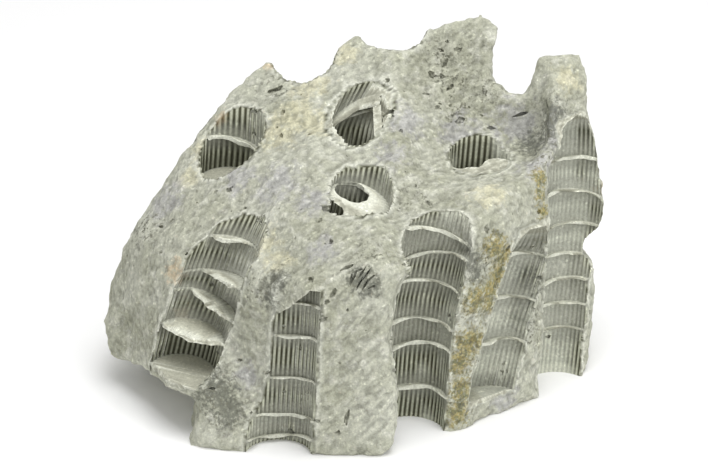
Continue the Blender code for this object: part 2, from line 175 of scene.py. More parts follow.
def pick(thing):
    """Select one object alone, as the one to work on."""
    bpy.ops.object.select_all(action="DESELECT")
    thing.select_set(True)
    bpy.context.view_layer.objects.active = thing


def lump_round(name, corners, holder):
    """The convex lump round some corners."""
    mesh = bpy.data.meshes.new(name)
    mesh.from_pydata([(Vector(corner) - MIDDLE) * MM for corner in corners], [], [])
    lump = bpy.data.objects.new(name, mesh)
    holder.objects.link(lump)
    pick(lump)
    bpy.ops.object.mode_set(mode="EDIT")
    bpy.ops.mesh.select_all(action="SELECT")
    bpy.ops.mesh.convex_hull()
    bpy.ops.mesh.select_all(action="SELECT")
    bpy.ops.mesh.normals_make_consistent(inside=False)
    bpy.ops.object.mode_set(mode="OBJECT")
    return lump


def finish_with(thing, kind, **settings):
    """Add a modifier with its settings, and apply it."""
    pick(thing)
    step = thing.modifiers.new(kind.lower(), kind)
    for name, value in settings.items():
        setattr(step, name, value)
    bpy.ops.object.modifier_apply(modifier=step.name)


def carve_out(thing, holder):
    """Take every object of a collection out of a solid, then throw those objects away."""
    finish_with(
        thing, "BOOLEAN", operation="DIFFERENCE", solver="MANIFOLD", operand_type="COLLECTION",
        collection=holder,
    )
    for used in list(holder.objects):
        bpy.data.objects.remove(used, do_unlink=True)
    bpy.data.collections.remove(holder)


def new_holder(name):
    holder = bpy.data.collections.new(name)
    bpy.context.scene.collection.children.link(holder)
    return holder


def roughen(thing, layers, level):
    """Lay lumps of some kinds, sizes and depths over a surface, which keeps its place at a level."""
    for kind, size, depth in layers:
        lumps = bpy.data.textures.new("lumps", type="CLOUDS")
        lumps.noise_basis = kind
        lumps.noise_scale = size * MM
        lumps.noise_depth = 1
        finish_with(
            thing, "DISPLACE", texture=lumps, texture_coords="LOCAL", mid_level=level,
            strength=depth * MM,
        )


block = lump_round("coral_block_stone", FOOT + FLANK + SHOULDER + CREST, bpy.context.scene.collection)
hollows = new_holder("hollows")
for label, corners in HOLLOWS.items():
    lump_round(label, corners, hollows)
carve_out(block, hollows)
finish_with(block, "REMESH", mode="VOXEL", voxel_size=COARSE_SKIN * MM)
roughen(block, COARSE, COARSE_LEVEL)

# The crest broke off along a jagged line. It is given here across and up, as it runs BREAK_DEPTH
# behind the middle, and the break slopes down to the back as steeply as the camera looks down.
jagged = CREST_BREAK + (
    (PAST_SIDES, CREST_BREAK[-1][1]), (PAST_SIDES, PAST_TOP), (-PAST_SIDES, PAST_TOP),
    (-PAST_SIDES, CREST_BREAK[0][1]),
)
count = len(jagged)
ends = []
for back in (PAST_FRONT, PAST_BACK):
    drop = (back - BREAK_DEPTH) * math.tan(LOOK_DOWN)
    ends += [(Vector((x, back, z - drop)) - MIDDLE) * MM for x, z in jagged]
faces = [tuple(range(count)), tuple(range(2 * count - 1, count - 1, -1))]
faces += [(i, count + i, count + (i + 1) % count, (i + 1) % count) for i in range(count)]
mesh = bpy.data.meshes.new("crest_break")
mesh.from_pydata(ends, [], faces)
breaks = new_holder("breaks")
off = bpy.data.objects.new("crest_break", mesh)
breaks.objects.link(off)
pick(off)
bpy.ops.object.mode_set(mode="EDIT")
bpy.ops.mesh.select_all(action="SELECT")
bpy.ops.mesh.quads_convert_to_tris()
bpy.ops.mesh.normals_make_consistent(inside=False)
bpy.ops.object.mode_set(mode="OBJECT")
carve_out(block, breaks)
finish_with(block, "REMESH", mode="VOXEL", voxel_size=FINE_SKIN * MM)
finish_with(block, "SMOOTH", factor=0.5, iterations=6)
roughen(block, FINE, FINE_LEVEL)

# The tubes: each grew upright beside its neighbours. Its wall carries about forty fine ribs, and a thin
# cross wall closes it every few millimetres. What is taken out here is the room inside the tubes, so
# the ribs and the broken cross walls are what stays of the stone.
RIB_HEIGHT = 0.17
# The ribs sway a little from side to side as they rise.
RIB_SWAY = 0.35
SWAY_RATE = 0.5
POINTS_PER_RIB = 4
ROW_HEIGHT = 2.0
WALL_THICK = 0.28
WALL_WARP = 0.45
# How closely noise is spread round an edge: a few broad bites, and many fine ones.
BROAD_BITES = 2.2
FINE_BITES = 9.0
# A tube's floor has a plain inner part, this wide as a share of the tube.
FLOOR_SHARE = 0.93
# A cross wall from below to above: (rise in half thicknesses, share of the way to the broken edge).
BREAK_STEPS = ((-1.0, 0.05), (-1.0, 0.5), (-0.6, 0.97), (0.6, 0.97), (1.0, 0.5), (1.0, 0.05))
# A tube's blind upper end: (rise in roof heights, share of the tube's radius).
ROOF_STEPS = ((0.6, 0.8), (1.0, 0.4))


def axis_at(path, height):
    """Where a tube's axis is at a height: straight runs between the points of its path."""
    for low, high in zip(path, path[1:]):
        if height <= high[2] or high is path[-1]:
            share = (height - low[2]) / (high[2] - low[2])
            return low[0] + share * (high[0] - low[0]), low[1] + share * (high[1] - low[1])


def rib_wave(turn, height, ribs):
    """How far the ribs stand at a turn of the wall: 0 in a groove, 1 on a rib."""
    return 0.5 + 0.5 * math.cos(ribs * turn + RIB_SWAY * math.sin(SWAY_RATE * height))


def wall_ring(path, height, slope, radius, ribs, share=1.0):
    """One turn of a tube's ribbed wall, on a plane that may slope."""
    centre = axis_at(path, height)
    points = []
    for i in range(POINTS_PER_RIB * ribs):
        turn = math.tau * i / (POINTS_PER_RIB * ribs)
        reach = share * (radius - RIB_HEIGHT * rib_wave(turn, height, ribs))
        x = reach * math.cos(turn)
        y = reach * math.sin(turn)
        points.append((centre[0] + x, centre[1] + y, height + slope[0] * x + slope[1] * y))
    return points


def round_noise(turn, spread, height):
    """Noise that closes on itself round a turn. A wider spread makes finer lumps."""
    return noise.noise(Vector((math.cos(turn) * spread, math.sin(turn) * spread, height)))


def hole_edge(turn, height, rim, middle_x, middle_y, size):
    """The edge of a round hole in a cross wall, with its middle given from the tube's axis."""
    broad = round_noise(turn, BROAD_BITES, height)
    size = size * (1.0 + 0.12 * broad + 0.03 * round_noise(turn, FINE_BITES, height))
    x = middle_x + size * math.cos(turn)
    y = middle_y + size * math.sin(turn)
    far = math.hypot(x, y)
    if far > rim:
        x, y = x * rim / far, y * rim / far
    return x, y


def torn_edge(turn, height, rim, kept_side, edge, jag):
    """The edge of a cross wall that is torn right across. What is left of it lies on the kept side,
    beyond the edge, and jag is how far the edge strays."""
    facing = math.radians(kept_side)
    from_back = (turn - facing + math.pi) % math.tau - math.pi
    corner = math.acos(edge / rim)
    away = rim * math.cos(from_back)
    across = rim * math.sin(from_back)
    if abs(from_back) < corner:
        part = from_back / corner
        across = rim * math.sin(corner) * part
        ragged = noise.noise(Vector((across * 0.6, height, 3.1)))
        fine = round_noise(turn, FINE_BITES, height)
        ragged += 0.5 * noise.noise(Vector((across * 1.9, height, 5.3))) + 0.2 * fine
        away = edge + jag * ragged * (1.0 - part**4)
    x = away * math.cos(facing) - across * math.sin(facing)
    y = away * math.sin(facing) + across * math.cos(facing)
    return x, y


EDGES = {"hole": hole_edge, "edge": torn_edge}


def broken_ring(path, height, slope, radius, ribs, gap, lift, share):
    """A turn round what has broken out of a cross wall. share goes from 0 at the tube's wall to 1 at
    the broken edge, and lift is how far the cross wall rises towards its middle."""
    centre = axis_at(path, height)
    rim = radius - 1.1 * RIB_HEIGHT
    points = []
    for i in range(POINTS_PER_RIB * ribs):
        turn = math.tau * i / (POINTS_PER_RIB * ribs)
        x, y = EDGES[gap[0]](turn, height, rim, *gap[1:])
        x = share * x + (1.0 - share) * rim * math.cos(turn)
        y = share * y + (1.0 - share) * rim * math.sin(turn)
        level = height + slope[0] * x + slope[1] * y + lift * (1.0 - (x * x + y * y) / rim**2)
        level += WALL_WARP * share * noise.noise(Vector((x * 0.45, y * 0.45, 7.0 * height)))
        points.append((centre[0] + x, centre[1] + y, level))
    return points


def tube_room(name, path, radius, ribs, holder, walls=(), bottom=None, top=None, roof=0.0):
    """The room inside a tube. A wall is (height, slope across, slope back, lift, what has broken out
    of it), and an end is (height, slope across, slope back)."""
    bottom = bottom or (path[0][2], 0.0, 0.0)
    top = top or (path[-1][2], 0.0, 0.0)
    rings = [wall_ring(path, bottom[0], bottom[1:], radius, ribs, FLOOR_SHARE)]
    last = bottom
    for wall in tuple(walls) + (top + (None, None),):
        height, slope, lift, gap = wall[0], wall[1:3], wall[3], wall[4]
        half = 0.5 * WALL_THICK if gap else 0.0
        runs = max(1, round((height - half - last[0]) / ROW_HEIGHT))
        for step in range(runs + 1):
            share = step / runs
            level = last[0] + share * (height - half - last[0])
            tilt = [last[k] + share * (wall[k] - last[k]) for k in (1, 2)]
            rings.append(wall_ring(path, level, tilt, radius, ribs))
        if gap:
            for rise, share in BREAK_STEPS:
                level = height + rise * half
                rings.append(broken_ring(path, level, slope, radius, ribs, gap, lift, share))
        last = (height + half,) + tuple(slope)
    if roof:
        for rise, share in ROOF_STEPS:
            rings.append(wall_ring(path, top[0] + rise * roof, top[1:], radius, ribs, share))
    count = POINTS_PER_RIB * ribs
    faces = [tuple(reversed(range(count)))]
    for j in range(len(rings) - 1):
        for i in range(count):
            k = (i + 1) % count
            faces.append((j * count + i, j * count + k, (j + 1) * count + k))
            faces.append((j * count + i, (j + 1) * count + k, (j + 1) * count + i))
    faces.append(tuple(range((len(rings) - 1) * count, len(rings) * count)))
    mesh = bpy.data.meshes.new(name)
    mesh.from_pydata([(Vector(point) - MIDDLE) * MM for ring in rings for point in ring], [], faces)
    room = bpy.data.objects.new(name, mesh)
    holder.objects.link(room)


# Each tube: its axis, its radius, its number of ribs, how crusted it is and towards which side, and its
# ends and cross walls.
TUBES = {
    # The left tube is given little crust, so its wall keeps its dark troughs as painted shade.
    "left": (
        ((-22.1, -12.4, 4.0), (-20.1, -11.8, 12.0), (-17.0, -10.2, 20.2), (-12.7, -8.8, 30.0)),
        4.4, 42, (-0.4, 0.0),
        dict(
            bottom=(7.3, -0.06, 0.1),
            walls=(
                (11.9, -0.16, 0.10, 0.0, ("edge", 54.0, -1.3, 0.5)),
                (15.5, -0.33, 0.08, 0.0, ("edge", 32.0, 1.0, 0.5)),
                (18.9, -0.10, -0.12, 0.0, ("edge", 32.0, 1.2, 0.5)),
                (22.6, -0.10, 0.03, 0.0, ("edge", 80.0, 3.0, 0.4)),
            ),
        ),
    ),
    "front": (
        ((-9.5, -20.0, -3.0), (-8.8, -19.5, 8.0), (-8.0, -19.3, 21.5)), 4.1, 44, (-0.3, 0.0),
        dict(
            walls=(
                (1.9, 0.05, -0.3, 0.0, ("hole", 0.0, -0.4, 3.7)),
                (4.7, -0.02, -0.3, 0.0, ("hole", 0.0, -0.4, 3.8)),
                (9.6, -0.02, -0.3, 0.0, ("hole", 0.0, -0.4, 3.7)),
                (15.3, -0.02, -0.3, 0.0, ("hole", 0.0, -0.4, 3.7)),
                (19.7, -0.03, -0.3, 0.0, ("hole", 0.0, -0.4, 3.8)),
            ),
        ),
    ),
    "right": (
        ((6.4, -14.3, -3.0), (7.9, -12.7, 15.0), (11.4, -11.4, 32.0)), 4.3, 46, (0.05, 0.0),
        dict(
            walls=(
                (4.3, 0.03, 0.02, 0.3, ("hole", 0.3, -0.7, 3.8)),
                (10.0, 0.06, 0.0, 0.4, ("hole", 0.2, -0.6, 3.8)),
                (13.2, -0.04, 0.0, 0.0, ("hole", 0.0, -0.4, 3.8)),
                (18.0, -0.10, 0.04, 0.4, ("hole", 0.0, -0.4, 3.9)),
                (21.9, 0.08, -0.05, 0.4, ("hole", 0.0, -0.4, 3.9)),
                (24.8, -0.30, -0.05, 0.3, ("hole", 0.2, -0.4, 3.8)),
            ),
        ),
    ),
    "flank": (
        ((15.2, -11.6, -3.0), (18.6, -8.2, 11.0), (22.2, -4.0, 21.4), (22.8, -3.0, 24.0)),
        3.8, 38, (0.9, 180.0),
        dict(
            bottom=(3.0, 0.0, -0.1),
            top=(20.4, 0.1, -0.3),
            roof=2.4,
            walls=(
                (8.4, 0.10, 0.04, 0.2, ("hole", 0.3, -0.4, 3.4)),
                (13.6, -0.04, 0.0, 0.2, ("hole", 0.3, -0.4, 3.4)),
                (18.6, -0.12, 0.0, 0.2, ("hole", 0.3, -0.4, 3.4)),
            ),
        ),
    ),
    "end": (
        ((25.2, -2.4, -3.0), (26.4, 0.4, 11.0), (27.6, 4.0, 22.0), (28.0, 7.4, 34.0)),
        4.1, 44, (0.7, 190.0),
        dict(
            top=(29.6, 0.0, 0.1),
            roof=3.0,
            walls=(
                (5.9, 0.02, 0.0, 0.2, ("hole", 0.2, -0.4, 3.7)),
                (9.1, 0.04, 0.0, 0.2, ("hole", 0.2, -0.4, 3.8)),
                (12.0, 0.10, 0.05, 0.3, ("hole", 0.2, -0.4, 3.7)),
                (15.2, 0.0, 0.0, 0.2, ("hole", 0.2, -0.4, 3.8)),
                (18.8, 0.08, 0.0, 0.8, ("hole", 0.2, -0.4, 3.7)),
                (22.8, -0.10, 0.0, 0.1, ("hole", 0.2, -0.4, 3.7)),
                (26.8, 0.0, 0.0, 0.1, ("hole", 0.2, -0.4, 3.8)),
            ),
        ),
    ),
    "top_left": (
        ((-15.7, 4.6, 24.0), (-14.4, 6.4, 42.0)), 3.95, 34, (0.05, 0.0),
        dict(
            bottom=(25.6, -0.03, 0.02),
            walls=((29.6, -0.22, -0.02, 0.0, ("hole", -0.3, -0.5, 3.5)),),
        ),
    ),
    "top_middle": (
        ((-2.6, 3.0, 24.0), (-0.8, 4.6, 31.0), (0.5, 5.5, 34.0), (3.6, 7.0, 40.0)), 4.05, 38, (0.0, 0.0),
        dict(
            bottom=(29.0, 0.05, -0.05),
            walls=(
                (32.6, 0.30, 0.10, -0.3, ("hole", 0.0, -0.4, 3.6)),
                (33.9, 0.50, 0.12, -0.8, ("hole", -0.1, -1.2, 3.3)),
            ),
        ),
    ),
    "top_front": (
        ((-0.9, -6.9, 20.0), (0.7, -5.8, 28.0), (2.3, -4.8, 36.0)), 3.9, 36, (0.05, 0.0),
        dict(
            bottom=(22.0, 0.0, 0.0),
            walls=((27.3, -0.30, 0.18, 0.0, ("hole", -1.0, 1.7, 2.0)),),
        ),
    ),
    "top_right": (
        ((15.0, 2.9, 22.0), (16.2, 4.3, 38.0)), 3.95, 34, (0.4, 0.0),
        dict(bottom=(25.0, -0.03, 0.06)),
    ),
    "back_left": (
        ((-8.6, 18.6, -3.0), (-6.6, 15.9, 30.0), (-6.0, 14.9, 46.0)), 4.1, 40, (0.2, 0.0),
        dict(
            walls=(
                (6.4, 0.05, 0.0, 0.3, ("hole", 0.0, 0.6, 3.7)),
                (13.2, -0.04, 0.0, 0.3, ("hole", 0.2, 0.7, 3.6)),
                (19.4, 0.08, 0.0, 0.3, ("hole", 0.0, 0.5, 3.6)),
                (27.0, -0.08, 0.0, 0.3, ("hole", 0.0, 0.6, 3.6)),
            ),
        ),
    ),
    "back_middle": (
        ((3.0, 21.4, -3.0), (5.0, 18.2, 30.0), (5.8, 17.8, 46.0)), 4.1, 40, (0.2, 0.0),
        dict(
            walls=(
                (5.0, 0.0, 0.0, 0.3, ("hole", 0.0, 0.6, 3.7)),
                (11.6, 0.06, 0.0, 0.3, ("hole", 0.2, 0.7, 3.6)),
                (18.0, -0.05, 0.0, 0.3, ("hole", 0.0, 0.5, 3.6)),
                (24.2, 0.0, 0.0, 0.3, ("hole", 0.0, 0.6, 3.7)),
                (31.6, 0.07, 0.0, 0.3, ("hole", -0.2, 0.6, 3.6)),
            ),
        ),
    ),
    "back_right": (
        ((18.2, 20.2, -3.0), (19.4, 17.6, 26.0), (20.4, 16.6, 48.0)), 3.8, 38, (0.2, 0.0),
        dict(
            top=(33.0, 0.0, 0.0),
            walls=(
                (7.2, 0.04, 0.0, 0.3, ("hole", 0.0, 0.6, 3.4)),
                (14.2, 0.0, 0.0, 0.3, ("hole", 0.2, 0.7, 3.3)),
                (21.4, 0.07, 0.0, 0.3, ("hole", 0.0, 0.6, 3.3)),
                (28.6, 0.0, 0.0, 0.3, ("hole", 0.0, 0.6, 3.4)),
            ),
        ),
    ),
    "far_left": (
        ((-24.6, 13.4, -3.0), (-23.2, 12.6, 16.0), (-22.0, 11.8, 32.0)), 4.0, 40, (0.3, 0.0),
        dict(
            walls=(
                (6.2, 0.05, 0.0, 0.3, ("hole", -0.5, 0.3, 3.5)),
                (12.6, 0.0, 0.0, 0.3, ("hole", -0.5, 0.4, 3.5)),
                (19.0, -0.06, 0.0, 0.3, ("hole", -0.4, 0.3, 3.5)),
            ),
        ),
    ),
}
rooms = new_holder("rooms")
for label, (path, radius, ribs, crusting, more) in TUBES.items():
    tube_room(label + "_tube", path, radius, ribs, rooms, **more)

# Stone still covers the front tube above a slant, which is given here across and up.
SLANT = ((-18.0, 6.8), (-1.0, 26.6))
SLANT_DEPTHS = (-28.0, -12.0)
COVER_TOP = 40.0
covers = new_holder("covers")
corners = [(x, y, z) for x, z in SLANT for y in SLANT_DEPTHS]
corners += [(x, y, COVER_TOP) for x, z in SLANT for y in SLANT_DEPTHS]
lump_round("front_cover", corners, covers)
carve_out(bpy.data.objects["front_tube"], covers)

# A shard of cross wall stays in the middle tube and leans across it, at its right.
folds = new_holder("folds")
lump_round(
    "shard",
    (
        (2.4, 0.6, 30.5), (3.4, 0.8, 31.1), (2.4, 0.6, 32.9), (3.4, 0.8, 32.9), (2.2, 7.2, 34.9),
        (3.2, 7.2, 35.3), (2.2, 7.2, 37.1), (3.2, 7.2, 37.1),
    ),
    folds,
)
carve_out(bpy.data.objects["top_middle_tube"], folds)

# A ledge and a tongue of stone stay in the right hole, at its front.
ledges = new_holder("ledges")
lump_round(
    "ledge",
    (
        (11.0, 1.6, 29.1), (21.0, 2.0, 29.4), (11.0, -2.5, 29.4), (21.0, -2.5, 29.4), (11.0, 1.0, 24.0),
        (21.0, 1.4, 24.0), (11.0, -2.5, 24.0), (21.0, -2.5, 24.0),
    ),
    ledges,
)
lump_round(
    "tongue",
    (
        (15.2, 1.6, 28.9), (16.5, 3.7, 29.4), (18.2, 4.1, 29.3), (21.0, 3.3, 30.1), (15.2, -2.5, 29.4),
        (21.0, -2.5, 29.6), (16.5, 2.9, 24.0), (21.0, 2.7, 24.0), (15.2, -2.5, 24.0), (21.0, -2.5, 24.0),
    ),
    ledges,
)
carve_out(bpy.data.objects["top_right_tube"], ledges)

# The sole: the block stands on what is flat at the resting plane.
BELOW = 90.0
bpy.ops.mesh.primitive_cube_add(size=BELOW * MM, location=(0.0, 0.0, -BELOW / 2.0 * MM))
below = bpy.context.object
for holder in list(below.users_collection):
    holder.objects.unlink(below)
rooms.objects.link(below)
carve_out(block, rooms)

# The pits: pores and small hollows that weathered out of the stone. Those in PITS, and the slits of the
# fibrous hollow, are given as they are seen from the front: across and up from the middle of the view,
# then length, width and slant. The rest are left to chance, but always to the same chance.
PITS = (
    (-0.9, -3.9, 1.9, 0.6, 12.0), (-5.5, -5.4, 1.0, 0.9, 0.0), (-2.6, -7.0, 1.3, 0.7, 60.0),
    (-3.5, -8.2, 0.9, 0.6, 10.0), (-1.0, -22.6, 2.0, 0.6, 75.0), (-2.1, -24.4, 0.8, 0.6, 30.0),
    (4.0, 15.2, 1.9, 1.0, 80.0), (9.5, 20.0, 1.3, 0.8, -60.0), (12.9, 23.1, 0.9, 0.6, 20.0),
    (11.2, 21.5, 1.1, 0.7, 60.0), (10.7, 19.8, 1.0, 0.7, 0.0), (11.8, 18.4, 1.3, 0.6, 40.0),
    (13.1, 14.4, 1.4, 0.9, 20.0), (16.9, 13.4, 1.2, 0.6, -30.0),
    (22.8, 3.0, 0.8, 0.6, 0.0), (16.4, 0.9, 1.1, 0.8, 80.0), (20.6, 15.1, 2.2, 0.5, 12.0),
    (-9.9, 18.1, 2.2, 0.7, 30.0), (-24.0, 1.2, 0.9, 0.6, 0.0), (-24.1, -2.0, 0.7, 0.5, 30.0),
    (-14.3, -15.4, 0.9, 0.5, 10.0), (-17.7, -18.9, 0.9, 0.4, 0.0), (8.9, 17.6, 1.2, 0.6, -20.0),
    (4.0, 19.3, 0.9, 0.7, 70.0), (-5.6, 12.6, 0.7, 0.5, 0.0), (-3.3, 3.5, 2.0, 1.4, 5.0),
)
FIBRES = (
    (0.3, -4.3, 1.6, 0.3, 55.0), (0.9, -4.5, 2.0, 0.3, 50.0), (1.5, -4.7, 2.0, 0.3, 48.0),
    (2.0, -5.2, 1.6, 0.3, 40.0), (-0.1, -5.0, 2.2, 0.3, 75.0), (-0.5, -5.4, 1.6, 0.3, 85.0),
    (0.6, -5.8, 1.8, 0.3, 60.0), (1.3, -6.0, 1.6, 0.35, 50.0), (2.1, -6.3, 1.0, 0.4, 20.0),
)
# Chips are on the tubes' edges, crest pores on the porous spike, and stray pores on every side. A
# stretch is how many times longer than wide they are, from the least to the most.
PIT_DETAIL = 2
PIT_RAGGED = 0.7
CHIPS = 70
CHIP_WIDTHS = (0.3, 0.7)
CHIP_STRETCH = (1.2, 2.4)
CHIP_REACH = 0.3
EDGE_WIDTH = 0.5
LOWEST_PIT, HIGHEST_PIT = 1.0, 42.0
CREST_PORES = 24
CREST_ACROSS = (9.0, 15.8)
CREST_UP = (14.6, 24.8)
CREST_STRETCH = (1.0, 1.9)
STRAY_PORES = 110
STRAY_STRETCH = (1.0, 1.8)
STRAY_CLEARANCE = 0.3
STRAY_ACROSS, STRAY_BACK, STRAY_UP = (-14.0, 14.0), (-9.0, 9.0), (6.0, 26.0)
OUTSIDE = 90.0
chance = random.Random(7)


def sight_line(across, up):
    """From the camera through a point of the view, given in millimetres from its middle."""
    through = AIM - MIDDLE + Vector((across, up * math.sin(LOOK_DOWN), up * math.cos(LOOK_DOWN)))
    start = camera.location / MM
    return start, (through - start).normalized()


def skin_of(thing):
    return BVHTree.FromObject(thing, bpy.context.evaluated_depsgraph_get())


def met(skin, start, ahead):
    """Where a line meets the stone, in millimetres, and which way the stone faces there."""
    spot, facing, index, away = skin.ray_cast(start * MM, ahead)
    return (spot / MM, facing) if spot else None


def clear_of_tubes(spot):
    """How far a point is from the nearest tube's wall, and less than 0 in a tube."""
    gaps = []
    for path, radius in [tube[:2] for tube in TUBES.values()]:
        centre = Vector((*axis_at(path, spot.z), spot.z)) - MIDDLE
        gaps.append((spot - centre).length - radius)
    return min(gaps)


def dig(where, facing, length, width, slant, holder):
    """A ragged pit that is cut into the stone against the way it faces."""
    depth = 0.15 * length + 0.5 * width
    bpy.ops.mesh.primitive_ico_sphere_add(subdivisions=PIT_DETAIL, radius=1.0)
    pit = bpy.context.object
    turned = facing.to_track_quat("Z", "Y").to_matrix() @ Matrix.Rotation(slant, 3, "Z")
    for corner in pit.data.vertices:
        ragged = 1.0 + PIT_RAGGED * noise.noise(corner.co * 1.8 + where)
        local = corner.co * ragged
        local = Vector((local.x * length / 2.0, local.y * width / 2.0, local.z * depth))
        corner.co = (where + turned @ local) * MM
    for other in list(pit.users_collection):
        other.objects.unlink(pit)
    holder.objects.link(pit)


def any_turn():
    return chance.uniform(0.0, math.pi)


skin = skin_of(block)
pits = new_holder("pits")
chips = 0
while chips < CHIPS:
    path, radius = chance.choice(list(TUBES.values()))[:2]
    height = chance.uniform(LOWEST_PIT, min(HIGHEST_PIT, path[-1][2]))
    centre = Vector((*axis_at(path, height), height)) - MIDDLE
    around = chance.uniform(0.0, math.tau)
    outward = Vector((math.cos(around), math.sin(around), 0.0))
    spot, facing, index, away = skin.find_nearest((centre + outward * (radius + EDGE_WIDTH / 2.0)) * MM)
    if away < CHIP_REACH * MM and 0.0 < clear_of_tubes(spot / MM) < EDGE_WIDTH:
        width = chance.uniform(*CHIP_WIDTHS)
        dig(spot / MM, facing, width * chance.uniform(*CHIP_STRETCH), width, any_turn(), pits)
        chips += 1
for across, up, length, width, slant in PITS + FIBRES:
    found = met(skin, *sight_line(across, up))
    if found:
        dig(*found, length, width, math.radians(slant), pits)
for i in range(CREST_PORES):
    found = met(skin, *sight_line(chance.uniform(*CREST_ACROSS), chance.uniform(*CREST_UP)))
    width = 0.15 + 0.4 * chance.random() ** 2
    if found:
        dig(*found, width * chance.uniform(*CREST_STRETCH), width, any_turn(), pits)
for i in range(STRAY_PORES):
    around, rise = chance.uniform(0.0, math.tau), chance.uniform(-0.1, 1.0)
    flat = math.sqrt(max(0.0, 1.0 - rise * rise))
    outward = Vector((flat * math.cos(around), flat * math.sin(around), rise))
    aim = Vector([chance.uniform(*reach) for reach in (STRAY_ACROSS, STRAY_BACK, STRAY_UP)])
    found = met(skin, aim + outward * OUTSIDE, -outward)
    width = 0.2 + 0.5 * chance.random() ** 2
    if found and found[0].z > LOWEST_PIT and clear_of_tubes(found[0]) > STRAY_CLEARANCE:
        dig(*found, width * chance.uniform(*STRAY_STRETCH), width, any_turn(), pits)
carve_out(block, pits)

# Crumbs that the cuts left loose are swept away, so the block stays one piece.
shell = bmesh.new()
shell.from_mesh(block.data)
left = set(shell.verts)
pieces = []
while left:
    grown = [left.pop()]
    for vert in grown:
        for edge in vert.link_edges:
            near = edge.other_vert(vert)
            if near in left:
                left.remove(near)
                grown.append(near)
    pieces.append(grown)
pieces.sort(key=len)
bmesh.ops.delete(shell, geom=[vert for grown in pieces[:-1] for vert in grown], context="VERTS")
shell.to_mesh(block.data)
shell.free()

# What tells the stone's parts and stains apart is worked out for each point and kept on the mesh:
# the ribs, the cross walls, the pale edge round a tube, the crust in it, the stains, and the hollows.
# A stain is a set of spots as seen from the front: across and up from the middle of the view, and size.
RIM_WIDTH = 0.7
RIM_SWELL = 0.22
NO_RIM = 9.0
BELOW_FLOOR, ABOVE_ROOF = 0.8, 0.5
OUTER_SLACK, WALL_SLACK = 0.04, 0.05
PLATE_FADE = 0.12
PLATE_GLOW, PLATE_GLOW_WIDTH = 0.7, 0.34
CRUST_GAIN, CRUST_FROM, CRUST_SIDE = 1.6, 0.25, 0.45
CRUST_FILL = 0.9
COVERED_ACROSS = (-12.9, -3.0)
COVERED_BEFORE = -14.6
STAINS = {
    "ochre": (
        (17.4, -1.4, 2.1), (18.2, -2.6, 2.0), (17.6, -4.8, 2.1), (16.7, -6.6, 1.9), (15.0, -8.0, 2.3),
        (16.6, -8.6, 1.4), (14.0, -13.2, 2.5), (15.4, -13.0, 1.6), (12.6, -15.6, 2.4),
        (13.2, -19.4, 2.4), (12.6, -22.0, 2.1), (23.0, 7.4, 1.3), (23.2, 5.2, 1.4), (23.4, 3.0, 1.3),
        (23.4, 0.8, 1.2),
    ),
    "cream": (
        (-5.4, 18.6, 2.6), (-7.2, 15.0, 3.2), (-4.6, 13.6, 2.6), (-9.4, 12.4, 2.6), (-1.2, 22.6, 1.8),
        (-18.6, 10.4, 2.0), (-20.4, 7.2, 1.8), (-11.4, -1.2, 2.6), (-9.6, -3.4, 2.2),
        (16.6, 5.4, 2.4), (25.8, -2.4, 1.2), (25.0, -6.4, 1.2), (26.6, 19.6, 2.2),
    ),
    "violet": (
        (-23.4, 4.4, 3.0), (-14.6, 7.4, 2.6), (-9.4, 6.6, 3.2), (-5.4, 4.2, 2.4), (-4.2, -1.8, 2.0),
        (6.6, 14.2, 2.8), (13.0, 12.6, 3.2), (19.6, 14.0, 3.4), (24.6, 13.0, 3.4), (22.6, 9.4, 2.6),
        (17.4, 22.4, 2.0), (4.4, 10.0, 2.4), (18.4, -20.4, 2.2), (-13.6, -17.4, 1.8),
    ),
    # Dark spots are mostly dark stone; the two at 14.4 and 15.0 across, on the right tube's upper right
    # wall, are painted shade.
    "dark_stone_and_shade": (
        (0.6, -5.4, 1.9), (1.9, -6.4, 1.5), (14.4, -3.2, 2.1), (15.0, -4.8, 1.6), (24.2, 14.4, 3.6),
        (22.2, 11.4, 2.6), (-17.0, -19.2, 3.0), (-15.6, -21.6, 2.4), (21.6, -6.0, 2.4),
        (20.2, -10.0, 2.4), (-9.6, -5.4, 1.9), (-10.6, -7.6, 1.5),
    ),
    # Where fine pores lie; the dark specks laid there are painted shade in the pores.
    "porous": (
        (12.0, 20.0, 3.4), (13.0, 16.0, 2.6), (10.2, 22.6, 2.2), (-17.0, -19.2, 3.4),
        (-15.8, -22.0, 2.6), (0.6, -5.4, 2.0), (24.2, 14.0, 3.2), (23.6, 9.6, 2.4), (-9.6, 18.4, 2.4),
        (-26.0, 1.0, 3.0), (2.0, -2.0, 2.2), (16.6, 18.0, 2.4), (-20.4, 12.0, 2.4), (21.8, -12.0, 2.6),
        (7.0, 4.6, 2.6), (-6.0, -20.0, 2.4), (-12.4, -6.4, 2.0), (17.0, -3.2, 2.6),
        (14.8, -8.4, 2.6), (14.0, -14.6, 2.8), (12.8, -20.4, 2.6),
    ),
    "tan": (
        (-13.4, 20.6, 1.1), (-11.8, 21.4, 1.1), (-14.8, 19.2, 1.0), (-10.6, 21.2, 0.9),
        (-16.6, 14.4, 1.2), (30.2, 6.0, 1.0), (-22.4, -4.4, 1.6), (-21.4, -9.6, 1.2),
    ),
}
mesh = block.data
spots = np.empty(3 * len(mesh.vertices))
mesh.vertices.foreach_get("co", spots)
spots = spots.reshape(-1, 3) / MM
turned = np.empty(3 * len(mesh.vertices))
mesh.vertices.foreach_get("normal", turned)
turned = turned.reshape(-1, 3)
kept = {name: np.zeros(len(spots)) for name in ("rib", "inside", "plate", "crust", "deep", *STAINS)}
rim = np.full(len(spots), NO_RIM)
patchy = np.array([noise.fractal(Vector(spot) * 0.22, 1.0, 2.0, 2) for spot in spots])
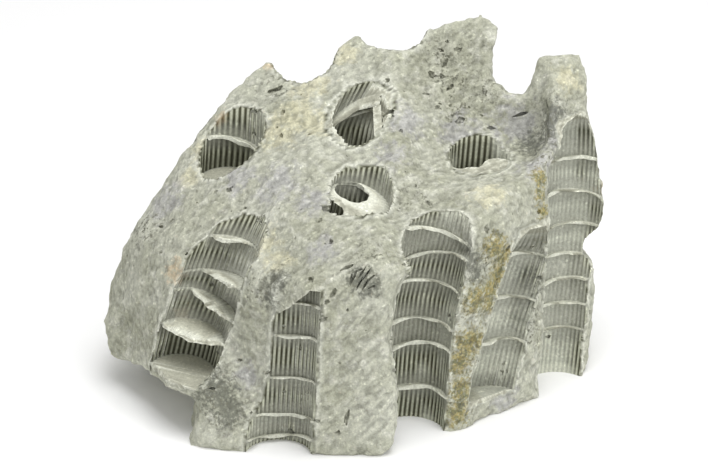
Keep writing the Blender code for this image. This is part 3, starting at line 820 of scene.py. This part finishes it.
for path, radius, ribs, (base_crust, facing), more in TUBES.values():
    line = np.array(path) - np.array(MIDDLE)
    centres = [np.interp(spots[:, 2], line[:, 2], line[:, k]) for k in (0, 1)]
    out = spots[:, :2] - np.stack(centres, axis=1)
    away = np.hypot(out[:, 0], out[:, 1])
    turn = np.arctan2(out[:, 1], out[:, 0])
    low = more.get("bottom", path[0][2:])[0] - BELOW_FLOOR
    high = more.get("top", path[-1][2:])[0] + more.get("roof", 0.0) + ABOVE_ROOF
    level = (spots[:, 2] > low) & (spots[:, 2] < high)
    within = level & (away < radius + OUTER_SLACK)
    on_wall = within & (away > radius - RIB_HEIGHT - WALL_SLACK)
    wave = 0.5 + 0.5 * np.cos(ribs * turn + RIB_SWAY * np.sin(SWAY_RATE * spots[:, 2]))
    side = CRUST_SIDE * np.cos(turn - math.radians(facing))
    crust = np.clip(CRUST_GAIN * (patchy + side - CRUST_FROM + base_crust), 0.0, 1.0)
    fill = on_wall * crust * (1.0 - 0.7 * wave) * CRUST_FILL * RIB_HEIGHT / np.maximum(away, 0.1)
    spots[:, :2] -= out * fill[:, None]
    kept["rib"][within] = wave[within]
    kept["crust"][within] = crust[within]
    plate = np.clip((radius - RIB_HEIGHT - WALL_SLACK - away) / PLATE_FADE, 0.0, 1.0)
    for height, across, back in [wall[:3] for wall in more.get("walls", ())]:
        off = spots[:, 2] - height - across * out[:, 0] - back * out[:, 1]
        plate = np.maximum(plate, PLATE_GLOW * np.exp(-((off / PLATE_GLOW_WIDTH) ** 2)))
    kept["plate"][within] = plate[within]
    kept["inside"][within] = 1.0
    rim = np.where(level, np.minimum(rim, np.abs(away - radius)), rim)

# The stone above the slant counts as broken stone, though it lies within the front tube's width.
slant = np.minimum(np.interp(spots[:, 0] + MIDDLE.x, *zip(*SLANT)), TUBES["front"][0][-1][2])
near_front = (spots[:, 0] > COVERED_ACROSS[0]) & (spots[:, 0] < COVERED_ACROSS[1])
near_front &= spots[:, 1] < COVERED_BEFORE
kept["inside"][near_front & (spots[:, 2] > slant + 0.1)] = 0.0
kept["rim"] = np.clip(1.0 - rim / RIM_WIDTH, 0.0, 1.0) * (1.0 - kept["inside"])
spots += turned * (RIM_SWELL * kept["rim"] * np.clip(0.6 + 1.5 * patchy, 0.0, 1.0))[:, None]
spots[:, 2] = np.maximum(spots[:, 2], 0.0)
mesh.vertices.foreach_set("co", (spots * MM).ravel())
for stain, seen in STAINS.items():
    for across, up, size in seen:
        found = met(skin, *sight_line(across, up))
        if found:
            away = np.linalg.norm(spots - np.array(found[0]), axis=1)
            kept[stain] = np.maximum(kept[stain], np.clip(1.25 - 0.8 * away / size, 0.0, 1.0))

# How deep each point lies among its neighbours: 0 on a sharp edge, 1 in a narrow hollow.
edges = np.empty(2 * len(mesh.edges), dtype=np.int32)
mesh.edges.foreach_get("vertices", edges)
edges = edges.reshape(-1, 2)
pull = np.zeros_like(spots)
count = np.zeros(len(spots))
for near, far in ((0, 1), (1, 0)):
    np.add.at(pull, edges[:, near], spots[edges[:, far]] - spots[edges[:, near]])
    np.add.at(count, edges[:, near], 1.0)
kept["deep"] = np.clip(0.5 + 3.0 * (pull * turned).sum(axis=1) / np.maximum(count, 1.0), 0.0, 1.0)
for label, values in kept.items():
    layer = mesh.attributes.new(label, "FLOAT", "POINT")
    layer.data.foreach_set("value", values.astype(np.float32))

# The limestone's finish: a fine sugary grain, pale grey-green, blotched and stained. Where a tube was,
# it is the coral's own wall: pale ribs with olive troughs, darkened further as painted shade in the
# grooves, and smooth pale cross walls, whose flat floors are darkened as painted shade.


def paint(red, green, blue):
    """A colour as a photo shows it, from 0 to 255, made linear."""
    shares = [value / 255.0 for value in (red, green, blue)]
    linear = [s / 12.92 if s <= 0.04045 else ((s + 0.055) / 1.055) ** 2.4 for s in shares]
    return (*linear, 1.0)


class Recipe:
    """A node tree that is written from top to bottom."""

    def __init__(self, tree):
        self.tree = tree
        self.place = self.node("ShaderNodeTexCoord").outputs["Object"]

    def node(self, kind, **settings):
        made = self.tree.nodes.new(kind)
        for name, value in settings.items():
            setattr(made, name, value)
        return made

    def fill(self, socket, source):
        if isinstance(source, (int, float, tuple)):
            socket.default_value = source
        else:
            self.tree.links.new(source, socket)

    def mottle(self, size, detail, rough):
        """Noise whose lumps are so many millimetres wide."""
        made = self.node("ShaderNodeTexNoise")
        self.fill(made.inputs["Vector"], self.place)
        self.fill(made.inputs["Scale"], 1.0 / (size * MM))
        self.fill(made.inputs["Detail"], detail)
        self.fill(made.inputs["Roughness"], rough)
        return made.outputs["Fac"]

    def crystals(self, size):
        """A chance value for each crystal of so many millimetres."""
        made = self.node("ShaderNodeTexVoronoi")
        self.fill(made.inputs["Vector"], self.place)
        self.fill(made.inputs["Scale"], 1.0 / (size * MM))
        split = self.node("ShaderNodeSeparateColor")
        self.fill(split.inputs["Color"], made.outputs["Color"])
        return split.outputs["Red"]

    def span(self, value, low, high, bottom=0.0, top=1.0):
        """Stretch what lies from low to high so that it runs from bottom to top."""
        made = self.node("ShaderNodeMapRange")
        for socket, source in zip(made.inputs, (value, low, high, bottom, top)):
            self.fill(socket, source)
        return made.outputs["Result"]

    def combine(self, kind, first, second):
        made = self.node("ShaderNodeMath", operation=kind)
        self.fill(made.inputs[0], first)
        self.fill(made.inputs[1], second)
        return made.outputs[0]

    def blend(self, amount, first, second, kind="MIX"):
        made = self.node("ShaderNodeMix", data_type="RGBA", blend_type=kind)
        for socket, source in ((0, amount), (6, first), (7, second)):
            self.fill(made.inputs[socket], source)
        return made.outputs[2]

    def stored(self, name):
        return self.node("ShaderNodeAttribute", attribute_name=name).outputs["Fac"]

    def stained(self, base, name, colour, strength, size):
        """Lay a stain over a colour, with an edge that breaks up."""
        spread = self.stored(name)
        ragged = self.combine("ADD", spread, self.span(self.mottle(size, 5.0, 0.7), 0.3, 0.7, -0.8, 0.4))
        amount = self.combine("MULTIPLY", self.span(ragged, 0.2, 0.75), strength)
        return self.blend(amount, base, colour)


CRUMB_HEIGHT = 0.22
SMOOTH_BELOW = 66.0
limestone = bpy.data.materials.new("weathered_limestone")
limestone.use_nodes = True
recipe = Recipe(limestone.node_tree)
shader = limestone.node_tree.nodes["Principled BSDF"]
shader.inputs["Roughness"].default_value = 0.8
shader.inputs["Specular IOR Level"].default_value = 0.3

# The broken stone.
blotches = recipe.span(recipe.mottle(7.0, 6.0, 0.65), 0.35, 0.65)
face = recipe.blend(blotches, paint(163, 164, 145), paint(190, 191, 176))
frost = recipe.span(recipe.mottle(1.6, 6.0, 0.7), 0.5, 0.72, 0.0, 0.7)
face = recipe.blend(frost, face, paint(216, 216, 205))
specks = recipe.span(recipe.mottle(1.9, 6.0, 0.75), 0.53, 0.7, 0.0, 0.5)
face = recipe.blend(specks, face, paint(128, 129, 112))
face = recipe.blend(recipe.stored("rim"), face, paint(208, 209, 196))
face = recipe.stained(face, "cream", paint(210, 205, 172), 0.55, 1.2)
face = recipe.stained(face, "violet", paint(172, 171, 173), 0.6, 1.2)
# Dark stains: dark stone, and painted shade on the right tube's upper right wall.
face = recipe.stained(face, "dark_stone_and_shade", paint(96, 98, 88), 0.8, 0.6)
face = recipe.stained(face, "tan", paint(204, 182, 148), 0.6, 0.8)
ochre = recipe.span(recipe.mottle(0.6, 5.0, 0.7), 0.42, 0.58)
ochre = recipe.blend(ochre, paint(102, 103, 62), paint(164, 148, 82))
face = recipe.stained(face, "ochre", ochre, 0.85, 0.5)
# Painted shade: dark specks in the fine pores of the porous patches.
pore_shade = recipe.span(recipe.mottle(0.5, 3.0, 0.6), 0.54, 0.64)
pore_shade = recipe.combine("MULTIPLY", pore_shade, recipe.stored("porous"))
face = recipe.blend(pore_shade, face, paint(112, 112, 98))

# The coral's wall.
# Darker troughs between the ribs: partly olive dirt, partly painted shade in the grooves.
trough_dirt_and_shade = recipe.span(recipe.stored("rib"), 0.2, 0.9)
wall = recipe.blend(trough_dirt_and_shade, paint(70, 70, 52), paint(184, 186, 166))
crusted = recipe.span(recipe.stored("crust"), 0.2, 0.9, 0.0, 0.7)
wall = recipe.blend(crusted, wall, paint(200, 202, 188))
# The same dark stains on the coral's wall, partly painted shade.
wall = recipe.stained(wall, "dark_stone_and_shade", paint(104, 106, 98), 0.6, 0.8)
wall = recipe.stained(wall, "tan", paint(150, 128, 96), 0.5, 1.2)
wall = recipe.blend(recipe.stored("plate"), wall, paint(206, 207, 193))
# Painted shade: the flat floors of the cross walls are darkened, while their sharp edges stay pale.
floor_shade = recipe.span(recipe.stored("plate"), 0.8, 1.0, 0.0, 0.8)
floor_shade = recipe.combine("MULTIPLY", floor_shade, recipe.span(recipe.stored("deep"), 0.2, 0.5))
wall = recipe.blend(floor_shade, wall, paint(170, 169, 151))
colour = recipe.blend(recipe.stored("inside"), face, wall)

# The grain over both, with painted shade in hollows, painted highlight on sharp edges, and painted
# glints on some crystals.
# Painted shade: darker in hollows; painted highlight: lighter on sharp edges.
hollow_shade_edge_highlight = recipe.span(recipe.stored("deep"), 0.35, 0.7, 1.12, 0.72)
grain = recipe.span(recipe.mottle(0.32, 4.0, 0.75), 0.3, 0.7, 0.76, 1.24)
# Painted glints: a few crystals are made brighter.
glint = recipe.span(recipe.crystals(0.28), 0.94, 1.0, 1.0, 1.4)
for factor in (hollow_shade_edge_highlight, grain, glint):
    colour = recipe.blend(1.0, colour, factor, "MULTIPLY")
recipe.fill(shader.inputs["Base Color"], colour)
crumbs = recipe.mottle(0.5, 5.0, 0.68)
rough_share = recipe.span(recipe.stored("inside"), 0.0, 1.0, 1.0, 0.35)
height = recipe.combine("MULTIPLY", crumbs, rough_share)
bump = recipe.node("ShaderNodeBump")
bump.inputs["Strength"].default_value = 1.0
bump.inputs["Distance"].default_value = CRUMB_HEIGHT * MM
recipe.fill(bump.inputs["Height"], height)
recipe.fill(shader.inputs["Normal"], bump.outputs["Normal"])
mesh.materials.clear()
mesh.materials.append(limestone)
pick(block)
bpy.ops.object.shade_smooth_by_angle(angle=math.radians(SMOOTH_BELOW))
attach(block, "root")
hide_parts("coral_block")

# The studio: a plain pale floor under soft light, with the key light almost straight above the block
# and a weaker one in front of it at the right. A light is given by its place, its watts and its width.
LIGHTS = {
    "key": ((30.0, -40.0, 400.0), 1.05, 260.0),
    "front": ((250.0, -280.0, 170.0), 0.46, 260.0),
}
SKY_STRENGTH = 0.57
FLOOR_SIZE = 3000.0
bpy.ops.mesh.primitive_plane_add(size=FLOOR_SIZE * MM, location=(0.0, 0.0, 0.0))
floor = bpy.context.object
floor.name = "floor"
white = bpy.data.materials.new("pale_floor")
white.use_nodes = True
paper = white.node_tree.nodes["Principled BSDF"]
paper.inputs["Base Color"].default_value = (0.96, 0.96, 0.96, 1.0)
paper.inputs["Roughness"].default_value = 0.9
floor.data.materials.append(white)
for label, (place, watts, width) in LIGHTS.items():
    lamp = bpy.data.lights.new(label, "AREA")
    lamp.energy = watts
    lamp.size = width * MM
    light = bpy.data.objects.new(label, lamp)
    bpy.context.scene.collection.objects.link(light)
    light.location = Vector(place) * MM
    light.rotation_euler = (AIM - Vector(place)).to_track_quat("-Z", "Y").to_euler()
sky = bpy.data.worlds.new("studio")
sky.use_nodes = True
sky.node_tree.nodes["Background"].inputs["Color"].default_value = (1.0, 1.0, 1.0, 1.0)
sky.node_tree.nodes["Background"].inputs["Strength"].default_value = SKY_STRENGTH
bpy.context.scene.world = sky
bpy.context.scene.view_settings.view_transform = "Standard"
